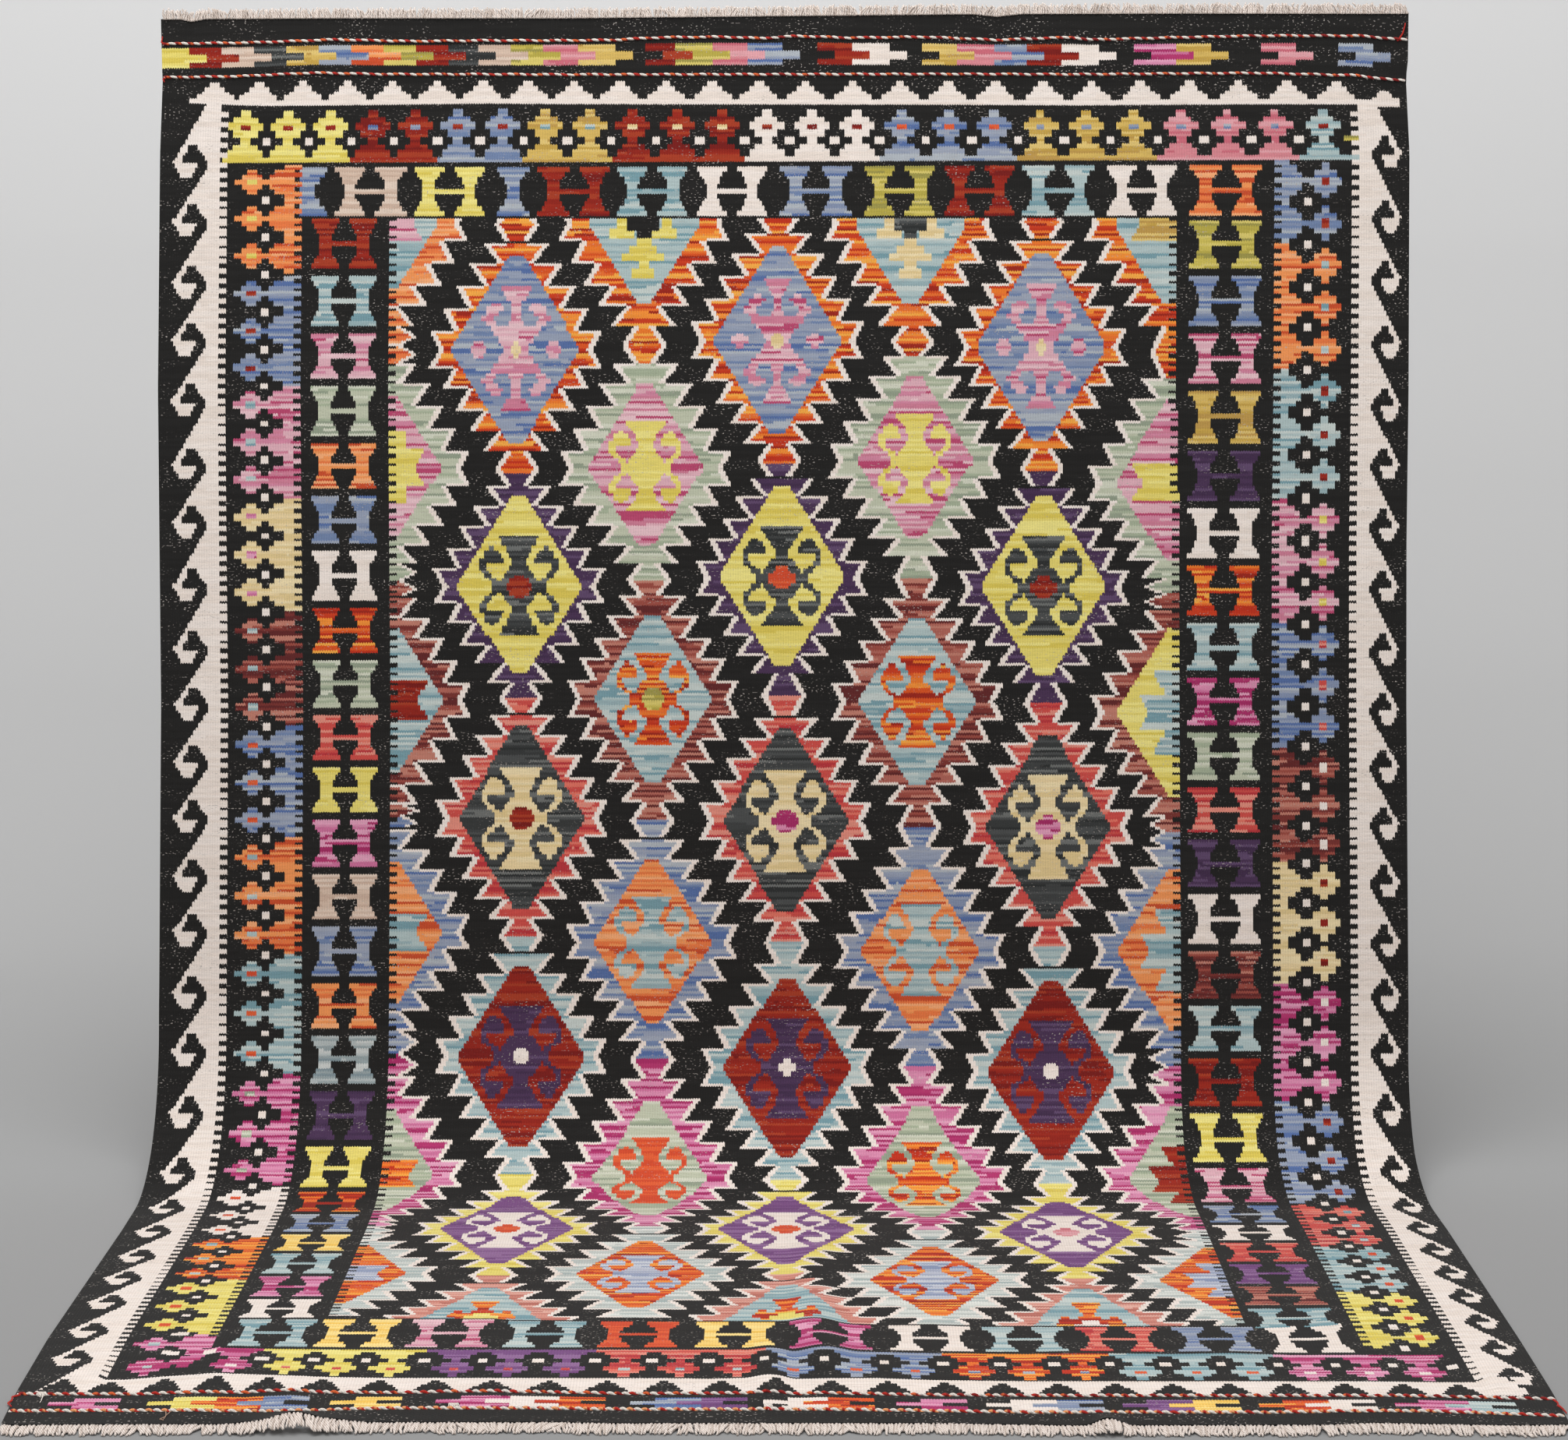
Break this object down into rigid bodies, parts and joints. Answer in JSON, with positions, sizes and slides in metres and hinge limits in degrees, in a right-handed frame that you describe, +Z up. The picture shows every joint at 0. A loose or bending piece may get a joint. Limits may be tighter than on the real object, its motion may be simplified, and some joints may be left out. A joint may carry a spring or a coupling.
{
  "type": "kilim rug",
  "caption": "Large flat-woven kilim with a lozenge field, borders and fringed ends, hung from its top edge with its lower part lying on the floor.",
  "frame": {"origin": "on the floor, under the middle of the rug's width and depth", "axes": "+X to the right across the width as seen from the face, the face looks along -Y, +Z up along the hanging part"},
  "size_m": [2.5109, 1.4701, 2.3309],
  "materials": {
    "kilim_wool": "weft-faced wool weave, matt, near-black ground with coloured motifs",
    "fringe_yarn": "undyed twisted yarn, matt"
  },
  "bodies": {
    "root": {"kilim_cloth": "kilim_wool", "fringe_top": "fringe_yarn", "fringe_bottom": "fringe_yarn"}
  },
  "joints": []
}
